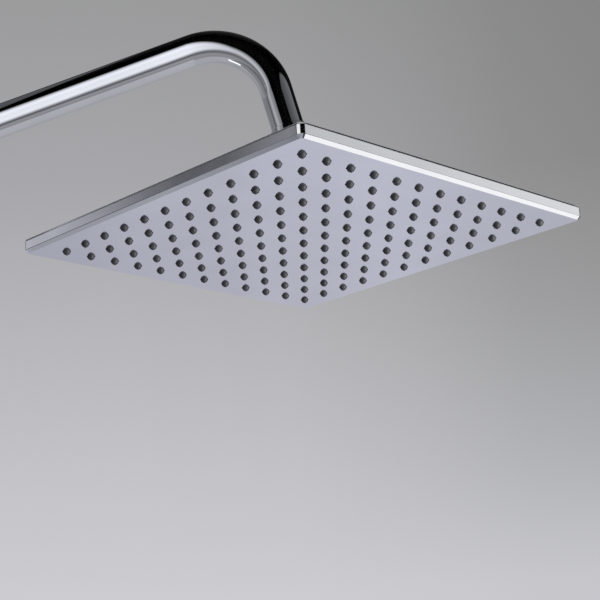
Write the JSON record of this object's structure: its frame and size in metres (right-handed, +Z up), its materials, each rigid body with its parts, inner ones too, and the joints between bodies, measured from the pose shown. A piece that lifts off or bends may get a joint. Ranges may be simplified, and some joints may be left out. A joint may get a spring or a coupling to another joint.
{
  "type": "overhead shower",
  "caption": "Overhead wall shower: a bent chrome arm with a sliding wall flange carries a square rain head with soft nozzles on a ball joint that tilts and turns.",
  "frame": {"origin": "on the arm's axis at the wall face, where the pipe thread goes into the wall", "axes": "+Y into the wall along the pipe thread, +Z up, +X to the right of someone facing the wall; the arm reaches out along -Y"},
  "size_m": [0.4202, 0.6165, 0.1752],
  "materials": {
    "chromed_tube": "polished chrome plate",
    "chromed_brass": "polished chrome plate on brass",
    "chromed_abs": "bright chrome plate on moulded ABS",
    "plain_brass": "machined",
    "black_rubber": "matte",
    "nozzle_silicone": "satin silicone",
    "seat_plastic": "moulded acetal",
    "inner_plastic": "moulded ABS",
    "stainless_steel": "plain"
  },
  "bodies": {
    "arm": {"arm_tube": "chromed_tube", "wall_nipple": "plain_brass", "head_nipple": "plain_brass", "stud_washer": "black_rubber", "ball_stud": "chromed_brass"},
    "wall_cover": {"wall_flange": "chromed_brass", "flange_ring": "black_rubber", "flange_gasket": "black_rubber"},
    "tilt_ring": {"lower_ball_seat": "seat_plastic"},
    "side_tilt_ring": {"upper_ball_seat": "seat_plastic"},
    "head": {"ball_socket": "chromed_brass", "ball_nut": "chromed_brass", "socket_washer": "black_rubber", "filter_screen": "stainless_steel", "flow_limiter": "inner_plastic", "inlet_fitting": "plain_brass", "inlet_gasket": "black_rubber", "inlet_lock_nut": "chromed_brass", "back_cover": "chromed_abs", "face_shell": "chromed_abs", "rim_gasket": "black_rubber", "nozzle_mat": "nozzle_silicone", "spreader_plate": "inner_plastic", "plate_screws": "stainless_steel"}
  },
  "joints": [
    {"name": "flange_slide", "type": "slide", "parent": "arm", "child": "wall_cover", "axis": [0, -1, 0], "range_m": [0, 0.045]},
    {"name": "head_tilt", "type": "hinge", "parent": "arm", "child": "tilt_ring", "pos_m": [0, -0.39141, -0.02032], "axis": [1, 0, 0], "range_deg": [-35, 8]},
    {"name": "head_side_tilt", "type": "hinge", "parent": "tilt_ring", "child": "side_tilt_ring", "pos_m": [0, -0.39141, -0.02032], "axis": [0, 1, 0], "range_deg": [-12, 12]},
    {"name": "head_turn", "type": "hinge", "parent": "side_tilt_ring", "child": "head", "pos_m": [0, -0.39141, -0.02032], "axis": [0, 0, 1], "continuous": true}
  ]
}
